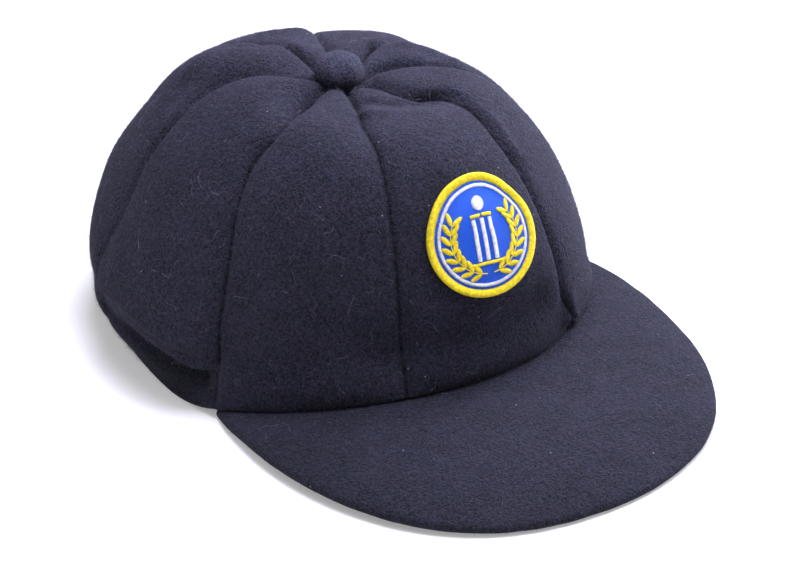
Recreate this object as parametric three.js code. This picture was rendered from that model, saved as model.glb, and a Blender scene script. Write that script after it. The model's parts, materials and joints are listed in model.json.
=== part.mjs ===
// Cricket cap: a soft crown of eight wool panels with a covered button, a stiff round peak sewn under
// its front hem, and a round patch on the front panel. The cap lies on a table as if set down by hand.
// Millimetres, +Z up. The peak points along -Y and the wearer's left is +X. Azimuths are in degrees
// about the crown's axis: 0 is the front, 90 the wearer's left, 180 the back.

import * as THREE from 'three';

// Crown
const hemRadius = 90.6; // mean outside radius of the hem, for a head of 57 cm
const crownHeight = 104; // table to the cloth round the button
const clothThickness = 2; // one layer of milled wool with its backing
const archHeight = 15.8; // the front hem's rise over the table, where the peak carries it
const archEnd = { right: 77, left: 105 }; // azimuths where the rising hem comes down to the table
const archRound = 2.3; // how long the arch stays high before it falls to the sides
const archFall = 1.15; // how softly it meets the table
const panelCount = 8;
const seamGap = 0.3; // clearance between neighbouring panels
const seamGroove = 1; // how far the cloth is pulled in along a seam
const panelPuff = 3; // fullness of a panel between its seams
const buttonShift = { x: -5.9, y: -3.3 }; // the button lies off the hem's middle, as the crown leans

// The back of the crown hangs over the hem, which elastic draws in
const tuckDepth = 8.5; // how far the cloth goes in under the overhang
const lipDroop = 4.5; // how far the overhang's lip sags
const lipBulge = 5.5; // how far the lip stands out just behind the temple seam
const tuckStart = 67.5; // azimuth where the overhang begins, at the temple seam
const tuckFull = 71.5; // azimuth from which it has its full depth
const tuckEase = { from: 85, to: 120, share: 0.75 }; // the fold opens out again towards the back
const bulgeEase = { from: 76, to: 100, share: 0.8 }; // the lip evens out with the sides
const droopEase = { from: 74, to: 94, share: 0.65 }; // and rises

// Peak
const peakLength = 73.6; // front hem to the tip
const peakThickness = 3.6; // board between two layers of wool
const peakCornerAngle = 68; // azimuth where the peak's sides go in under the hem
const peakSkew = 5.4; // how far the peak's rear is pushed to the wearer's left against its tip
const peakInset = 1.6; // how far the peak reaches in behind the hem's inner face
const peakBow = 2.4; // rise of the peak's middle over a straight slope
const peakClimb = 1.4; // how soon the plate climbs from its edge to the hem
const peakCornerRise = 2.2; // how late the edge rises from the table to the hem at its corners
const peakEdgeRound = 1.3; // rounding of the outer edge
const peakGap = 0.5; // clearance between the peak and the hem above it

// Button and patch
const buttonRadius = 9;
const buttonHeight = 11;
const buttonTilt = 5; // degrees towards the front
const buttonGap = 0.4; // clearance between the button's base and the cloth below
const eyeRadius = 5; // the panels end under the button at this radius
const eyeDepth = 4; // how far they go down there
const patchRadius = 21.5;
const patchThickness = 1.2;
const patchHeight = 68; // patch centre above the table
const patchAzimuth = 0;
const patchGap = 0.45; // clearance between the patch and the front panel

// Sections of the crown from the hem up. Rise is a share of crownHeight, arch a share of the hem's
// arch at that azimuth, puff a share of panelPuff, and front, temple, side and back are outside radii
// at the four pairs of seams as shares of hemRadius.
const crownSections = {
  hem: { rise: 0, arch: 1, front: 1.02, temple: 1.02, side: 0.965, back: 0.965, puff: 0 },
  band: { rise: 0.08, arch: 0.74, front: 1.02, temple: 1.01, side: 1.03, back: 1.02, puff: 0.3 },
  tuck: { rise: 0.165, arch: 0.55, front: 1.01, temple: 0.99, side: 1.055, back: 1.055, puff: 0.4 },
  lip: { rise: 0.25, arch: 0.45, front: 0.995, temple: 0.975, side: 1.06, back: 1.075, puff: 0.4 },
  bulge: { rise: 0.35, arch: 0.35, front: 0.975, temple: 0.955, side: 1.06, back: 1.085, puff: 0.5 },
  middle: { rise: 0.51, arch: 0.38, front: 0.925, temple: 0.885, side: 0.96, back: 1.08, puff: 0.6 },
  shoulder: { rise: 0.73, arch: 0.33, front: 0.81, temple: 0.755, side: 0.81, back: 0.895, puff: 0.8 },
  slope: { rise: 0.9, arch: 0.33, front: 0.6, temple: 0.57, side: 0.63, back: 0.69, puff: 1 },
  top: { rise: 0.995, arch: -0.2, front: 0.365, temple: 0.365, side: 0.37, back: 0.38, puff: 0.8 },
  ring: { rise: 0.98, arch: -0.1, front: 0.145, temple: 0.145, side: 0.145, back: 0.145, puff: 0.5 },
};

// The overhang at the back, where it moves a section: tuck inwards as a share of tuckDepth, droop
// downwards as a share of lipDroop and bulge outwards as a share of lipBulge
const overhangSections = {
  band: { tuck: 0.5, droop: 0, bulge: 0 },
  tuck: { tuck: 1, droop: -0.65, bulge: 0.1 },
  lip: { tuck: 0, droop: 1, bulge: 1 },
  bulge: { tuck: 0, droop: 0, bulge: 0.6 },
};

// Dents and bulges of the crown as it was put down. Row counts along crownSections, push is outwards
// as a share of hemRadius, and wide and tall are how far it fades, in degrees and in rows.
const crownDents = [
  { name: 'right front flat', azimuth: -28, row: 3.9, push: -0.045, wide: 20, tall: 1.8 },
  { name: 'left front bulge', azimuth: 26, row: 4.1, push: 0.045, wide: 20, tall: 1.9 },
  { name: 'left temple hem', azimuth: 68, row: 0.6, push: 0.03, wide: 18, tall: 1.2 },
  { name: 'right side hem', azimuth: -92, row: 0.3, push: -0.025, wide: 14, tall: 1 },
  { name: 'right back shoulder', azimuth: -147, row: 7.4, push: 0.085, wide: 22, tall: 0.8 },
  { name: 'left side shoulder', azimuth: 112, row: 6.9, push: -0.03, wide: 22, tall: 0.9 },
  { name: 'right back bulge', azimuth: -158, row: 5, push: 0.03, wide: 20, tall: 0.9 },
  { name: 'left back flat', azimuth: 158, row: 5, push: -0.03, wide: 20, tall: 0.9 },
  { name: 'right back overhang', azimuth: -122, row: 1.4, push: 0.06, wide: 24, tall: 0.9 },
  { name: 'left side slope', azimuth: 91, row: 7, push: -0.05, wide: 17, tall: 0.8 },
  { name: 'left side bulge', azimuth: 80, row: 4.2, push: 0.016, wide: 22, tall: 1.4 },
  { name: 'hollow of the back', azimuth: 146, row: 7.8, push: -0.06, wide: 17, tall: 0.8 },
  { name: 'fold before the button', azimuth: 5, row: 7.9, push: -0.05, wide: 15, tall: 0.4 },
];

// How the peak's half outline runs, as shares of its length and of the hem's radius
const peakOutline = {
  cornerHandle: { out: 0.09, forward: 0.55 }, // first handle: shares of hemRadius and peakLength
  tipHandle: 0.98, // second handle: share of hemRadius out from the tip
  skewPivot: 0.4, // square of the place along the edge that the skew leaves where it is
};

const lyingFrom = 6.4; // row past which a push starts to turn upwards, as the crown closes over
const lyingFully = 8.4; // row past which it goes straight up
const panelColumns = [-1, -0.93, -0.7, -0.36, 0, 0.36, 0.7, 0.93, 1]; // places across a panel
const stepsPerSection = 2;
const peakSpokes = 32;
const peakRows = 7;
const patchRings = 3;
const patchSpokes = 28;
const lathSides = 24;

const woolColour = 0x2a2b38;
const buttonColour = 0x474759;
const patchColour = 0x1d4fae;
const panelAngle = 360 / panelCount;

function radians(degrees) {
  return THREE.MathUtils.degToRad(degrees);
}

function smooth(low, high, value) {
  return THREE.MathUtils.smoothstep(value, low, high);
}

// A cubic through evenly spaced values: round repeats them as a ring, and otherwise its ends hold
function cubic(values, place, round = false) {
  const count = values.length;
  const base = round ? Math.floor(place) : THREE.MathUtils.clamp(Math.floor(place), 0, count - 2);
  const part = place - base;
  const pick = (index) => {
    if (round) return values[((index % count) + count) % count];
    if (index < 0) return 2 * values[0] - values[1];
    if (index >= count) return 2 * values[count - 1] - values[count - 2];
    return values[index];
  };
  const [before, start, end, after] = [pick(base - 1), pick(base), pick(base + 1), pick(base + 2)];
  const slopeIn = (end - before) / 2;
  const slopeOut = (after - start) / 2;
  const square = part * part;
  const cube = square * part;
  return (2 * cube - 3 * square + 1) * start + (cube - 2 * square + part) * slopeIn
    + (3 * square - 2 * cube) * end + (cube - square) * slopeOut;
}

const sectionNames = Object.keys(crownSections);
const lastRow = sectionNames.length; // one row past the ring, where the panels end in the eye
const columns = {};
for (const name of ['rise', 'arch', 'front', 'temple', 'side', 'back', 'puff']) {
  columns[name] = sectionNames.map((section) => crownSections[section][name]);
}
for (const name of ['tuck', 'droop', 'bulge']) {
  columns[name] = sectionNames.map((section) => overhangSections[section]?.[name] ?? 0);
}

// The azimuth folded into -180 to 180
function folded(azimuth) {
  return THREE.MathUtils.euclideanModulo(azimuth + 180, 360) - 180;
}

// Height of the hem over the table
function hemArch(azimuth) {
  const turn = folded(azimuth);
  const share = 1 - (Math.abs(turn) / (turn < 0 ? archEnd.right : archEnd.left)) ** archRound;
  return archHeight * Math.max(0, share) ** archFall;
}

// How far across its panel an azimuth lies: 0 in the middle, 1 at a seam
function acrossPanel(azimuth) {
  const nearest = Math.round(folded(azimuth) / panelAngle) * panelAngle;
  return Math.abs(folded(azimuth) - nearest) / (panelAngle / 2);
}

// What is left of the overhang's depth at a turn from the front
function eased(ease, turn) {
  return 1 - ease.share * smooth(ease.from, ease.to, turn);
}

// Outside radius and height of the crown at an azimuth and a row of the sections
function profile(azimuth, row) {
  const onTable = Math.min(row, lastRow - 1);
  const ring = ['back', 'side', 'temple', 'front', 'front', 'temple', 'side', 'back'];
  const radii = ring.map((name) => cubic(columns[name], onTable));
  const seamPlace = (folded(azimuth) + 180 - panelAngle / 2) / panelAngle;
  let radius = cubic(radii, seamPlace, true) * hemRadius;
  let height = cubic(columns.rise, onTable) * crownHeight + cubic(columns.arch, onTable) * hemArch(azimuth);
  const across = acrossPanel(azimuth);
  const fullness = panelPuff * cubic(columns.puff, onTable) * (1 - across * across);
  const pulled = seamGroove * smooth(0.8, 1, across) * smooth(0, 1, row);
  const turn = Math.abs(folded(azimuth));
  const overhang = smooth(tuckStart, tuckFull, turn);
  radius -= tuckDepth * overhang * eased(tuckEase, turn) * Math.max(0, cubic(columns.tuck, onTable));
  radius += lipBulge * overhang * eased(bulgeEase, turn) * Math.max(0, cubic(columns.bulge, onTable));
  height -= lipDroop * overhang * eased(droopEase, turn) * cubic(columns.droop, onTable);
  let push = fullness - pulled;
  for (const dent of crownDents) {
    const sideways = folded(azimuth - dent.azimuth) / dent.wide;
    const upwards = (row - dent.row) / dent.tall;
    push += dent.push * hemRadius * Math.exp(-sideways * sideways - upwards * upwards);
  }
  const lying = smooth(lyingFrom, lyingFully, row);
  radius += push * (1 - lying);
  height += push * lying;
  if (row > lastRow - 1) {
    const inward = row - (lastRow - 1);
    radius = THREE.MathUtils.lerp(radius, eyeRadius, inward);
    height -= inward * eyeDepth;
  }
  return new THREE.Vector2(radius, height);
}

// A point of the crown: depth goes in through the cloth and aside moves it along the seam's gap
function crownPoint(azimuth, row, depth = 0, aside = 0) {
  const place = profile(azimuth, row);
  if (depth !== 0) {
    const step = 0.05;
    const above = profile(azimuth, Math.min(row + step, lastRow));
    const below = profile(azimuth, Math.max(row - step, 0));
    const along = above.sub(below).normalize();
    if (row === 0) along.set(0, 1);
    place.x -= along.y * depth;
    place.y += along.x * depth;
  }
  const lean = (row / lastRow) ** 2;
  const angle = radians(azimuth);
  return new THREE.Vector3(
    buttonShift.x * lean + place.x * Math.sin(angle) + aside * Math.cos(angle),
    buttonShift.y * lean - place.x * Math.cos(angle) + aside * Math.sin(angle),
    place.y,
  );
}

// A closed wall between two sheets of points with the same rows and columns
function wall(outer, inner) {
  const rows = outer.length;
  const width = outer[0].length;
  const positions = [outer, inner].flat(2).flatMap((point) => point.toArray());
  const at = (sheet, row, place) => (sheet * rows + row) * width + place;
  const faces = [];
  const quad = (a, b, c, d) => faces.push(a, b, c, a, c, d);
  for (let row = 0; row < rows - 1; row += 1) {
    for (let place = 0; place < width - 1; place += 1) {
      quad(at(0, row, place), at(0, row, place + 1), at(0, row + 1, place + 1), at(0, row + 1, place));
      quad(at(1, row, place), at(1, row + 1, place), at(1, row + 1, place + 1), at(1, row, place + 1));
    }
    quad(at(0, row, 0), at(0, row + 1, 0), at(1, row + 1, 0), at(1, row, 0));
    quad(at(0, row, width - 1), at(1, row, width - 1), at(1, row + 1, width - 1), at(0, row + 1, width - 1));
  }
  for (let place = 0; place < width - 1; place += 1) {
    quad(at(0, 0, place), at(1, 0, place), at(1, 0, place + 1), at(0, 0, place + 1));
    const top = rows - 1;
    quad(at(0, top, place), at(0, top, place + 1), at(1, top, place + 1), at(1, top, place));
  }
  const geometry = new THREE.BufferGeometry();
  geometry.setAttribute('position', new THREE.Float32BufferAttribute(positions, 3));
  geometry.setIndex(faces);
  geometry.computeVertexNormals();
  return geometry;
}

function wool(colour = woolColour) {
  return new THREE.MeshStandardMaterial({ color: colour, roughness: 0.95, metalness: 0 });
}

function named(name, geometry, material) {
  const mesh = new THREE.Mesh(geometry, material);
  mesh.name = name;
  return mesh;
}

// One panel of the crown, from the hem to the eye under the button
function crownPanel(name, middle) {
  const sheet = (depth) => {
    const rows = [];
    for (let step = 0; step <= lastRow * stepsPerSection; step += 1) {
      const row = step / stepsPerSection;
      rows.push(panelColumns.map((share) => {
        const aside = Math.abs(share) === 1 ? -Math.sign(share) * seamGap / 2 : 0;
        return crownPoint(middle + share * panelAngle / 2, row, depth, aside);
      }));
    }
    return rows;
  };
  return named(name, wall(sheet(0), sheet(clothThickness)), wool());
}

// The peak's outer edge in plan, from -1 at the right corner over 0 at the tip to 1 at the left corner
function peakEdge(place) {
  const corner = crownPoint(peakCornerAngle, 0);
  const tip = crownPoint(0, 0).y - peakLength;
  const start = new THREE.Vector2(corner.x, corner.y);
  const handle = peakOutline.cornerHandle;
  const half = new THREE.CubicBezierCurve(
    start,
    new THREE.Vector2(start.x + handle.out * hemRadius, start.y - handle.forward * peakLength),
    new THREE.Vector2(peakOutline.tipHandle * hemRadius, tip),
    new THREE.Vector2(0, tip),
  );
  const point = half.getPoint(1 - Math.abs(place));
  const skew = peakSkew * (place * place - peakOutline.skewPivot);
  return new THREE.Vector2(Math.sign(place) * point.x + skew, point.y);
}

// The peak: a bowed plate whose rear edge lies under the front hem
function peak() {
  const top = [];
  const bottom = [];
  const rowShares = [0, null]; // null stands for the row where the rounded edge ends
  const bowPeak = 27 / 4; // brings the highest point of the bow's curve to 1
  for (let row = 1; row <= peakRows; row += 1) rowShares.push(row / peakRows);
  for (const share of rowShares) {
    const topRow = [];
    const bottomRow = [];
    for (let spoke = 0; spoke <= peakSpokes; spoke += 1) {
      const place = (2 * spoke) / peakSpokes - 1;
      const azimuth = place * peakCornerAngle;
      const edge = peakEdge(place);
      const root = crownPoint(azimuth, 0, clothThickness + peakInset);
      const length = edge.distanceTo(new THREE.Vector2(root.x, root.y));
      const inward = share === null ? peakEdgeRound / length : share;
      const rootTop = hemArch(azimuth) - peakGap;
      const edgeTop = THREE.MathUtils.lerp(peakThickness, rootTop, Math.abs(place) ** peakCornerRise);
      const bow = peakBow * bowPeak * inward * (1 - inward) ** 2 * (1 - place * place);
      const high = THREE.MathUtils.lerp(edgeTop, rootTop, 1 - (1 - inward) ** peakClimb) + bow;
      const rounding = share === 0 ? peakEdgeRound * Math.SQRT1_2 : 0;
      const x = THREE.MathUtils.lerp(edge.x, root.x, inward);
      const y = THREE.MathUtils.lerp(edge.y, root.y, inward);
      topRow.push(new THREE.Vector3(x, y, high - rounding));
      bottomRow.push(new THREE.Vector3(x, y, Math.max(0, high - peakThickness) + rounding));
    }
    top.push(topRow);
    bottom.push(bottomRow);
  }
  return named('peak', wall(top, bottom), wool());
}

// The covered button, a full round pad on the eye of the crown
function button() {
  const outline = new THREE.SplineCurve([
    new THREE.Vector2(0.72 * buttonRadius, 0),
    new THREE.Vector2(0.93 * buttonRadius, 0.16 * buttonHeight),
    new THREE.Vector2(buttonRadius, 0.42 * buttonHeight),
    new THREE.Vector2(0.86 * buttonRadius, 0.74 * buttonHeight),
    new THREE.Vector2(0.5 * buttonRadius, 0.95 * buttonHeight),
    new THREE.Vector2(0, buttonHeight),
  ]);
  const points = [new THREE.Vector2(0, 0), ...outline.getPoints(9)];
  points[points.length - 1].x = 0;
  const geometry = new THREE.LatheGeometry(points, lathSides);
  geometry.rotateX(Math.PI / 2);
  const seatRow = lastRow - 0.5;
  const seat = crownPoint(0, seatRow).add(crownPoint(180, seatRow)).multiplyScalar(0.5);
  const mesh = named('button', geometry, wool(buttonColour));
  mesh.position.copy(seat);
  mesh.position.z += buttonGap;
  mesh.rotation.x = radians(buttonTilt);
  return mesh;
}

// The row of the sections that lies at a height over the table
function rowAtHeight(azimuth, height) {
  let low = 0;
  let high = lastRow - 2;
  for (let turn = 0; turn < 24; turn += 1) {
    const middle = (low + high) / 2;
    if (profile(azimuth, middle).y < height) low = middle;
    else high = middle;
  }
  return (low + high) / 2;
}

// The round patch: a thin disc bent to follow the front panel
function patch() {
  const outline = [];
  for (let ring = 0; ring <= patchRings; ring += 1) {
    outline.push(new THREE.Vector2((ring / patchRings) * patchRadius, 0));
  }
  for (let ring = patchRings; ring >= 0; ring -= 1) {
    outline.push(new THREE.Vector2((ring / patchRings) * patchRadius, patchThickness));
  }
  const geometry = new THREE.LatheGeometry(outline, patchSpokes);
  const places = geometry.attributes.position;
  const radius = profile(patchAzimuth, rowAtHeight(patchAzimuth, patchHeight)).x;
  const above = crownPoint(patchAzimuth, rowAtHeight(patchAzimuth, patchHeight + patchRadius));
  const below = crownPoint(patchAzimuth, rowAtHeight(patchAzimuth, patchHeight - patchRadius));
  const upright = (2 * patchRadius) / above.distanceTo(below); // how much a step up the panel rises
  for (let index = 0; index < places.count; index += 1) {
    const azimuth = patchAzimuth + THREE.MathUtils.radToDeg(places.getX(index) / radius);
    const row = rowAtHeight(azimuth, patchHeight - places.getZ(index) * upright);
    const point = crownPoint(azimuth, row, -patchGap - places.getY(index));
    places.setXYZ(index, point.x, point.y, point.z);
  }
  geometry.computeVertexNormals();
  return named('patch', geometry, wool(patchColour));
}

const cap = new THREE.Group();
const panelNames = [
  'panel_front', 'panel_front_left', 'panel_left', 'panel_back_left',
  'panel_back', 'panel_back_right', 'panel_right', 'panel_front_right',
];
panelNames.forEach((name, index) => cap.add(crownPanel(name, index * panelAngle)));
cap.add(peak());
cap.add(button());
cap.add(patch());

// The origin lies on the table under the middle of the cap
const reach = new THREE.Box3().setFromObject(cap);
const middle = reach.getCenter(new THREE.Vector3());
cap.position.set(-middle.x, -middle.y, -reach.min.z);

export default cap;
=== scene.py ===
"""Cricket cap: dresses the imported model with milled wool, soft seams, fuzz and an embroidered patch.

Lengths in the tables are millimetres, and MM turns them into the frame's metres. A place on the crown that
the photograph shows is given by its pixel there, and always lies on the surface that the pixel meets.
"""

import json
import math

import bmesh
import bpy
import numpy as np
from mathutils import Matrix, Vector, noise
from mathutils.bvhtree import BVHTree

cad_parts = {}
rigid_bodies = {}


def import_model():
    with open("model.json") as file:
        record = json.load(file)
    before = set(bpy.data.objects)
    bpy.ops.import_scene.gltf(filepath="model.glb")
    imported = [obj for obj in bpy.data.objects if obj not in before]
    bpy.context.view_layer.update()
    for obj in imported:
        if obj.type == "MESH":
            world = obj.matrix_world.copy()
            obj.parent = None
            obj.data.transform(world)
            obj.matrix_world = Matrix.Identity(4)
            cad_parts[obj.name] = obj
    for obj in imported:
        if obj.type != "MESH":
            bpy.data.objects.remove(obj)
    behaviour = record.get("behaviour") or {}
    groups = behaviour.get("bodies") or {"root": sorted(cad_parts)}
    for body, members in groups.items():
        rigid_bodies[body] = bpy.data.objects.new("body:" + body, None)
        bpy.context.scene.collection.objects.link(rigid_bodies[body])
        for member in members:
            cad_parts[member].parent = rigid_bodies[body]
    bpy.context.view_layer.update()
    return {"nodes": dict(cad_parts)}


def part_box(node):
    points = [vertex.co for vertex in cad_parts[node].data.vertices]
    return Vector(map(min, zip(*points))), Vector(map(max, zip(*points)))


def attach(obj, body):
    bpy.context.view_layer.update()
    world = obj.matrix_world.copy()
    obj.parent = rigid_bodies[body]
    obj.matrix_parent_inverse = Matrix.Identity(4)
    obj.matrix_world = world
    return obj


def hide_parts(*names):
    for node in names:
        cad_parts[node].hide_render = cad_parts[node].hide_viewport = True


bl_info = {
    "name": "Cricket Cap",
    "version": (1, 0, 0),
    "blender": (4, 5, 0),
    "location": "3D View > Sidebar > Cricket Cap",
    "description": "Builds a wool cricket cap with a patch around its packed model",
    "category": "Add Mesh",
}

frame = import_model()
MM = 0.001
IMAGE = (800, 575)  # the photograph's frame, in pixels
SENSOR = 36  # the camera's sensor width
BODY = "root"

PANELS = (
    "panel_front",
    "panel_front_left",
    "panel_left",
    "panel_back_left",
    "panel_back",
    "panel_back_right",
    "panel_right",
    "panel_front_right",
)

# The crown's axis stands here in the frame, and its heart is the middle of its hollow
CROWN_AXIS = Vector((0.26, 32.36, 0)) * MM
CROWN_HEART = CROWN_AXIS + Vector((0, 0, 35)) * MM

# How a seam pulls the cloth in, by the button and low on the crown: its depth and reach, and how far the
# dark seam line reaches, which is partly the stitched line and partly painted shade in the seam's crevice.
# Fall is how far down from the button the first goes over into the second, gap the widest space between
# two panels that the seam closes, drawn the share of it that each panel crosses, and pucker the seam's
# unevenness.
SEAM = {
    "top": {"depth": 2.4, "reach": 2.9, "line": 2.2},
    "low": {"depth": 1.15, "reach": 1.9, "line": 1.25},
    "fall": 38,
    "gap": 0.45,
    "drawn": 0.6,
    "pucker": 0.35,
}

# Sizes of the cloth's waves, ripples and puckers, on a sphere of this radius round the crown's heart
UNEVEN = {"radius": 75, "waves": 24, "ripples": 9, "pucker": 5}

# Where the cloth is held, for each way that it is moved: the distances from the button, the table and the
# peak at which it starts to move and at which it moves fully
HELD = {
    "waves": {"button": (9, 22), "table": (1, 13), "peak": (1, 13)},
    "seams": {"button": (8, 16), "table": (0, 6), "peak": (0, 5)},
    "pulls": {"button": (8, 15)},
    "folds": {"button": (7, 14), "table": (0, 8), "peak": (0, 6)},
    "ridges": {"button": (10, 18)},
}
FAR = 14  # distances from the peak and from the next panel count up to here
LEAST_FACING = 0.3  # cloth seen at a flatter slant than this is pulled no further

# Where the cloth is pulled along itself. At is the pixel that is moved, by how far it goes right and
# down in the photograph, and wide how far the pull fades over the cloth.
PULLS = {
    "back seam by the button": {"at": (292, 57), "by": (0, -8), "wide": 8},
    "right back seam high": {"at": (250, 81), "by": (0, -6), "wide": 13},
    "right back seam": {"at": (206, 100), "by": (-4, -6), "wide": 14},
    "right back seam low": {"at": (155, 152), "by": (-5, -1), "wide": 14},
    "right temple seam high": {"at": (300, 102), "by": (2, 6), "wide": 9},
    "right temple seam": {"at": (278, 126), "by": (3, 4), "wide": 9},
    "right temple seam middle": {"at": (253, 172), "by": (-7, 0), "wide": 14},
    "right temple seam low": {"at": (237, 224), "by": (-4, 0), "wide": 14},
    "right front seam": {"at": (370, 127), "by": (-5, 0), "wide": 9},
    "left front seam at the peak": {"at": (560, 326), "by": (10, -4), "wide": 9},
    "left front seam high": {"at": (440, 104), "by": (0, -6), "wide": 8},
    "left front seam": {"at": (471, 115), "by": (2, -5), "wide": 9},
    "left temple seam by the button": {"at": (388, 73), "by": (0, -4), "wide": 9},
    "left temple seam": {"at": (420, 70), "by": (0, -4), "wide": 11},
    "left back seam": {"at": (378, 51), "by": (-2, -5), "wide": 8},
    "end of the overhang": {"at": (204, 352), "by": (1, 15), "wide": 5.5},
    "overhang": {"at": (181, 356), "by": (0, 5), "wide": 6},
}

# Soft folds. Path runs through pixels of the photograph, away from the button. Deep is how far the
# cloth goes in at its two ends, or out if negative, and wide how far the fold fades to the path's left
# and right, seen from outside.
FOLDS = {
    "wall above the left front seam": {
        "path": ((374, 83), (400, 92), (434, 96)), "deep": (2.0, 0.8), "wide": (3.8, 1.6)
    },
    "pocket before the button": {
        "path": ((368, 101), (388, 104), (412, 104), (434, 102)), "deep": (1.6, 0.8), "wide": (2.6, 2.6)
    },
    "ridge of the pocket": {
        "path": ((362, 113), (381, 112), (400, 113), (424, 110)), "deep": (-1.3, -0.9), "wide": (2.0, 3.6)
    },
    "ridge beside the left front seam": {
        "path": ((424, 88), (452, 90), (478, 103), (496, 122), (515, 150)),
        "deep": (-0.7, -0.9), "wide": (2.6, 2.6)
    },
    "crease at the back": {
        "path": ((283, 43), (270, 42), (257, 45), (232, 46)), "deep": (1.6, 0.9), "wide": (1.8, 2.4)
    },
    "ridge at the back": {
        "path": ((303, 32), (284, 32), (266, 34)), "deep": (-1.9, -1.6), "wide": (5, 3)
    },
    "ridge at the left": {
        "path": ((404, 43), (430, 51), (452, 60)), "deep": (-1.2, -1.4), "wide": (4, 3)
    },
    "wall above the right back seam": {
        "path": ((305, 69), (277, 71), (245, 75), (213, 87), (186, 103)),
        "deep": (1.9, 1.3), "wide": (1.7, 4.2)
    },
    "shoulder at the left": {
        "path": ((228, 62), (212, 61), (200, 64)), "deep": (-1.0, -2.4), "wide": (8, 8)
    },
    "dent under the shoulder": {
        "path": ((184, 84), (172, 98), (161, 112)), "deep": (2.4, 1.0), "wide": (6, 7)
    },
    "wall above the right temple seam": {
        "path": ((322, 88), (304, 101), (290, 114), (276, 133), (262, 158), (252, 182)),
        "deep": (2.4, 0.9), "wide": (1.2, 3.6)
    },
    "wall above the left temple seam": {
        "path": ((368, 71), (392, 64), (420, 59), (446, 57)), "deep": (1.2, 0.6), "wide": (3.0, 1.6)
    },
    "channel under the overhang": {
        "path": ((103, 306), (122, 325), (143, 343), (166, 360), (184, 368), (206, 376)),
        "deep": (1.8, 4.6), "wide": (1.3, 2.6)
    },
    "edge of the overhang": {
        "path": ((100, 284), (118, 301), (136, 316), (156, 332), (176, 343), (196, 348)),
        "deep": (-1.2, -1.7), "wide": (3.2, 1.8)
    },
    "hollow over the peak": {
        "path": ((380, 362), (440, 352), (490, 336), (540, 304)), "deep": (2.6, 3.0), "wide": (8, 7)
    },
    "foot of the left front seam": {
        "path": ((570, 296), (572, 316)), "deep": (-1.2, -2.6), "wide": (4, 4)
    },
    "hollow low at the right back": {
        "path": ((121, 196), (112, 228), (104, 262)), "deep": (0.6, 0.9), "wide": (5, 5)
    },
}

# Sizes of the peak's waves and ripples, the share of the crown's waves that it has, and the distances from
# the crown at which they start and are full
PEAK_UNEVEN = {"waves": 30, "ripples": 8, "share": 0.6, "from_crown": (1, 12)}

# How far the button is drawn down into the eye, and to the side, and the size and share of its ripples
BUTTON_SET = (-0.7, -0.2, -1.1)
BUTTON_UNEVEN = {"ripples": 6, "share": 2}

# Shared mesh steps

def node_quads(node):
    """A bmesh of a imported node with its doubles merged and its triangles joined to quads."""
    bm = bmesh.new()
    bm.from_mesh(frame["nodes"][node].data)
    bmesh.ops.remove_doubles(bm, verts=bm.verts, dist=0.002 * MM)
    flat, square = math.radians(35), math.radians(50)
    bmesh.ops.join_triangles(bm, faces=bm.faces, angle_face_threshold=flat, angle_shape_threshold=square)
    return bm


def crease_rims(bm, turn=55, amount=0.35):
    """Creases the edges where the mesh turns sharply, so that subdivision keeps a firm cloth edge."""
    layer = bm.edges.layers.float.new("crease_edge")
    for edge in bm.edges:
        if len(edge.link_faces) == 2 and edge.calc_face_angle() > math.radians(turn):
            edge[layer] = amount


def add_object(name, mesh):
    piece = bpy.data.objects.new(name, mesh)
    bpy.context.scene.collection.objects.link(piece)
    return piece


def subdivided(name, bm, levels):
    """An object from the bmesh after a Subdivision Surface, applied so that its points can be moved."""
    rough = bpy.data.meshes.new(name + "_rough")
    bm.to_mesh(rough)
    bm.free()
    piece = add_object(name, rough)
    smooth = piece.modifiers.new("Subdivision", "SUBSURF")
    smooth.levels = smooth.render_levels = levels
    evaluated = piece.evaluated_get(bpy.context.evaluated_depsgraph_get())
    piece.data = bpy.data.meshes.new_from_object(evaluated)
    piece.data.name = name
    piece.modifiers.clear()
    bpy.data.meshes.remove(rough)
    piece.data.shade_smooth()
    return piece


def points_of(mesh, kind="co"):
    """The mesh's points, or their normals, a row each."""
    flat = np.empty(len(mesh.vertices) * 3)
    mesh.vertices.foreach_get(kind, flat)
    return flat.reshape(-1, 3)


def set_points(mesh, points):
    mesh.vertices.foreach_set("co", np.ascontiguousarray(points).ravel())
    mesh.update()


def mask_points(mesh, name, values):
    """Keeps a value from 0 to 1 for each point, which the material reads."""
    mesh.attributes.new(name, "FLOAT", "POINT").data.foreach_set("value", values.astype(np.float32))


def filled_out(points, box):
    """The points stretched to fill the box again, as subdivision draws a round piece in."""
    low, high = (np.array(corner) for corner in box)
    share = (points - points.min(axis=0)) / (points.max(axis=0) - points.min(axis=0))
    return low + share * (high - low)


def rise(values, low, high):
    """Smooth step from 0 at low to 1 at high."""
    share = np.clip((values - low) / (high - low), 0, 1)
    return share * share * (3 - 2 * share)


def faded(distance, reach):
    return np.exp(-((distance / reach) ** 2))


def unevenness(points, size, seed):
    """Smooth noise about zero, with bumps of the given size in metres."""
    shift = Vector((7.3, 3.1, 5.7)) * seed
    return np.array([noise.noise(Vector(point) / size + shift) for point in points])


def skin_of(nodes):
    """A tree for rays and nearest places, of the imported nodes' faces."""
    corners = []
    faces = []
    for name in nodes:
        mesh = frame["nodes"][name].data
        start = len(corners)
        corners.extend(vert.co.copy() for vert in mesh.vertices)
        faces.extend([start + index for index in face.vertices] for face in mesh.polygons)
    return BVHTree.FromPolygons(corners, faces)


def distance_to(skin, points, most):
    """How far each point is from the skin, at the most the given distance."""
    return np.array([skin.find_nearest(Vector(point), most)[3] or most for point in points])


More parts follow.
